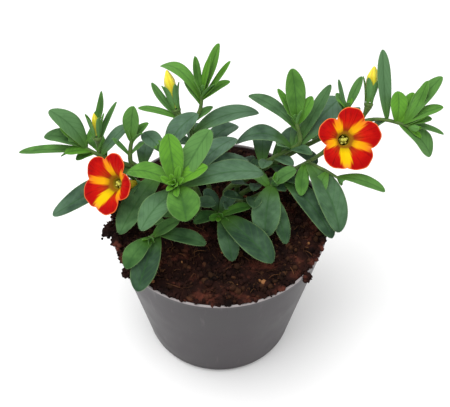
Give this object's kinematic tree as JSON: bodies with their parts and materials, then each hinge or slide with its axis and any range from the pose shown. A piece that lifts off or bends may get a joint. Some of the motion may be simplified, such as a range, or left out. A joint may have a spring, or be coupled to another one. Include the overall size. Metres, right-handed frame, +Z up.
{
  "type": "calibrachoa in a nursery pot",
  "caption": "Calibrachoa plant with red and yellow flowers, buds and leafy shoots, growing in peat in a round dark-grey nursery pot.",
  "frame": {"origin": "centre of the pot's underside, on the surface that it stands on", "axes": "+Z up along the pot's axis, -Y the front that the picture shows, +X to the right seen from the front"},
  "size_m": [0.2004, 0.105, 0.1551],
  "materials": {
    "pot": "satin dark grey",
    "soil": "rough, fibrous, moist",
    "leaf": "soft matt green with fine pale hairs",
    "petal": "velvety red with yellow rays",
    "eye": "matt yellow green",
    "bud": "soft yellow"
  },
  "bodies": {
    "root": {"pot": "pot", "soil": "soil", "stem_left": "leaf", "stem_top": "leaf", "stem_centre": "leaf", "stem_centre_back": "leaf", "stem_front_left": "leaf", "stem_front": "leaf", "stem_front_right": "leaf", "stem_right_low": "leaf", "stem_right_back": "leaf", "stem_right": "leaf", "bloom_left": "petal", "bloom_right": "petal", "eye_left": "eye", "eye_right": "eye", "bud_left": "bud", "bud_top": "bud", "bud_right": "bud"}
  },
  "joints": []
}
